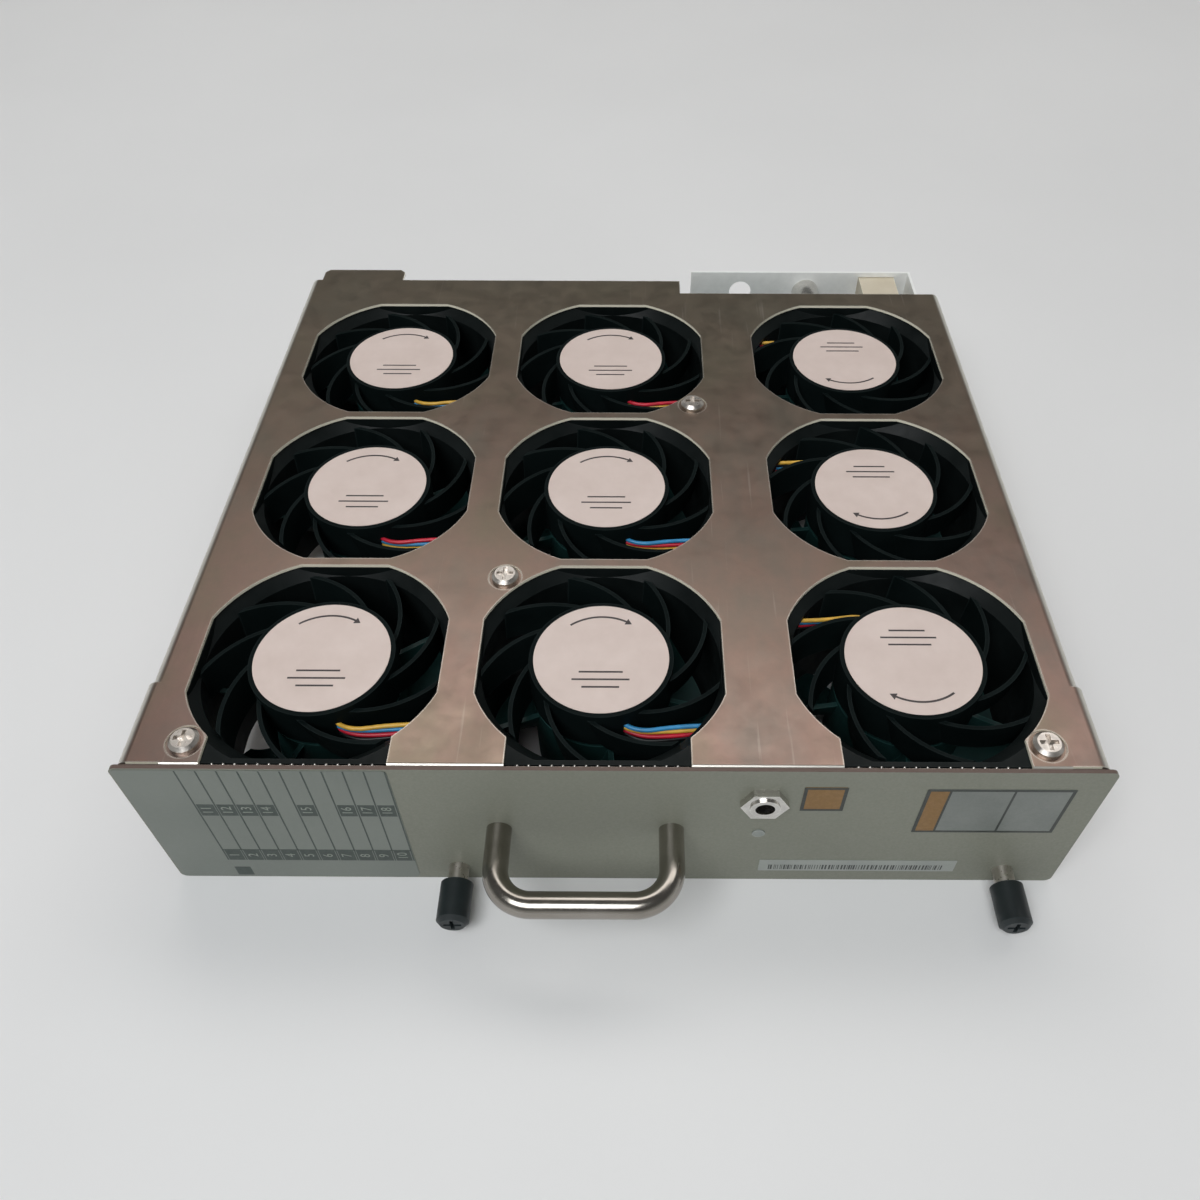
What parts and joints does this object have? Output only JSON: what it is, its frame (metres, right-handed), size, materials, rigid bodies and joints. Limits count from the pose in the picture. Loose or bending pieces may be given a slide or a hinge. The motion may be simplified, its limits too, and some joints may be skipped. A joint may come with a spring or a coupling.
{
  "type": "fan tray",
  "caption": "Front-loading sheet-steel fan tray: axial fans blow upwards between a folded tray and cover, with a handle, captive thumbscrews and a rear plug.",
  "frame": {"origin": "middle of the outline at the level of the front panel's lower edge", "axes": "-Y is the front with the handle, +Y the rear plug, +Z the air outlet side, +X to the right seen from the front"},
  "size_m": [0.2202, 0.2255, 0.0523],
  "materials": {
    "zinc_steel": "zinc-plated sheet steel, satin",
    "panel_paint": "light grey-green powder coat, matt",
    "spring_strip": "bright spring strip",
    "handle_steel": "polished round bar",
    "screw_steel": "zinc-plated",
    "knob_slate": "dark slate, satin",
    "fan_plastic": "black moulded, semi-gloss",
    "rotor_plastic": "black moulded, satin",
    "shaft_steel": "ground",
    "stator_core": "laminated core with enamelled wire",
    "lead_insulation": "coloured insulation",
    "header_plastic": "moulded, matt",
    "board_green": "solder-masked laminate",
    "bracket_steel": "bluish white zinc",
    "connector_cream": "cream moulded",
    "socket_metal": "nickel-plated",
    "lens": "clear moulded, frosted"
  },
  "bodies": {
    "tray": {"top_cover": "zinc_steel", "bottom_tray": "zinc_steel", "front_panel": "panel_paint", "contact_strips": "spring_strip", "handle": "handle_steel", "handle_screws": "screw_steel", "cover_screws": "screw_steel", "cover_nuts": "screw_steel", "strap_socket": "socket_metal", "socket_nut": "socket_metal", "light_pipe": "lens", "rear_bracket": "bracket_steel", "guide_bush": "socket_metal", "rear_connector": "connector_cream", "control_board": "board_green", "board_spacers": "screw_steel", "board_screws": "screw_steel", "lead_headers": "header_plastic", "fan_leads": "lead_insulation", "fan_frames_front": "fan_plastic", "fan_frames_middle": "fan_plastic", "fan_frames_back": "fan_plastic", "guide_vanes_front": "fan_plastic", "guide_vanes_middle": "fan_plastic", "guide_vanes_back": "fan_plastic", "motor_stators": "stator_core", "thumb_ferrule_left": "screw_steel", "thumb_ferrule_right": "screw_steel"},
    "rotor_1": {"impeller_1": "rotor_plastic", "rotor_shaft_1": "shaft_steel"},
    "rotor_2": {"impeller_2": "rotor_plastic", "rotor_shaft_2": "shaft_steel"},
    "rotor_3": {"impeller_3": "rotor_plastic", "rotor_shaft_3": "shaft_steel"},
    "rotor_4": {"impeller_4": "rotor_plastic", "rotor_shaft_4": "shaft_steel"},
    "rotor_5": {"impeller_5": "rotor_plastic", "rotor_shaft_5": "shaft_steel"},
    "rotor_6": {"impeller_6": "rotor_plastic", "rotor_shaft_6": "shaft_steel"},
    "rotor_7": {"impeller_7": "rotor_plastic", "rotor_shaft_7": "shaft_steel"},
    "rotor_8": {"impeller_8": "rotor_plastic", "rotor_shaft_8": "shaft_steel"},
    "rotor_9": {"impeller_9": "rotor_plastic", "rotor_shaft_9": "shaft_steel"},
    "thumb_slide_left": {"thumb_ring_left": "screw_steel", "thumb_spring_left": "spring_strip"},
    "thumb_turn_left": {"thumb_knob_left": "knob_slate", "thumb_screw_left": "screw_steel"},
    "thumb_slide_right": {"thumb_ring_right": "screw_steel", "thumb_spring_right": "spring_strip"},
    "thumb_turn_right": {"thumb_knob_right": "knob_slate", "thumb_screw_right": "screw_steel"}
  },
  "joints": [
    {"name": "fan_spin_1", "type": "hinge", "parent": "tray", "child": "rotor_1", "pos_m": [-0.07, -0.0589, 0.03], "axis": [0, 0, 1], "continuous": true},
    {"name": "fan_spin_2", "type": "hinge", "parent": "tray", "child": "rotor_2", "pos_m": [-0.0034, -0.0589, 0.03], "axis": [0, 0, 1], "continuous": true},
    {"name": "fan_spin_3", "type": "hinge", "parent": "tray", "child": "rotor_3", "pos_m": [0.0709, -0.0589, 0.03], "axis": [0, 0, 1], "continuous": true},
    {"name": "fan_spin_4", "type": "hinge", "parent": "tray", "child": "rotor_4", "pos_m": [-0.07, 0.0016, 0.03], "axis": [0, 0, 1], "continuous": true},
    {"name": "fan_spin_5", "type": "hinge", "parent": "tray", "child": "rotor_5", "pos_m": [-0.0034, 0.0016, 0.03], "axis": [0, 0, 1], "continuous": true},
    {"name": "fan_spin_6", "type": "hinge", "parent": "tray", "child": "rotor_6", "pos_m": [0.0709, 0.0016, 0.03], "axis": [0, 0, 1], "continuous": true},
    {"name": "fan_spin_7", "type": "hinge", "parent": "tray", "child": "rotor_7", "pos_m": [-0.07, 0.0621, 0.03], "axis": [0, 0, 1], "continuous": true},
    {"name": "fan_spin_8", "type": "hinge", "parent": "tray", "child": "rotor_8", "pos_m": [-0.0034, 0.0621, 0.03], "axis": [0, 0, 1], "continuous": true},
    {"name": "fan_spin_9", "type": "hinge", "parent": "tray", "child": "rotor_9", "pos_m": [0.0709, 0.0621, 0.03], "axis": [0, 0, 1], "continuous": true},
    {"name": "thumb_push_left", "type": "slide", "parent": "tray", "child": "thumb_slide_left", "axis": [0, 1, 0], "range_m": [0, 0.0045], "stiffness_N_per_m": 300, "springref_m": -0.002, "deforming": ["thumb_spring_left"]},
    {"name": "thumb_spin_left", "type": "hinge", "parent": "thumb_slide_left", "child": "thumb_turn_left", "pos_m": [-0.0389, -0.098, 0.0058], "axis": [0, 1, 0], "continuous": true},
    {"name": "thumb_push_right", "type": "slide", "parent": "tray", "child": "thumb_slide_right", "axis": [0, 1, 0], "range_m": [0, 0.0045], "stiffness_N_per_m": 300, "springref_m": -0.002, "deforming": ["thumb_spring_right"]},
    {"name": "thumb_spin_right", "type": "hinge", "parent": "thumb_slide_right", "child": "thumb_turn_right", "pos_m": [0.0964, -0.098, 0.0058], "axis": [0, 1, 0], "continuous": true}
  ]
}
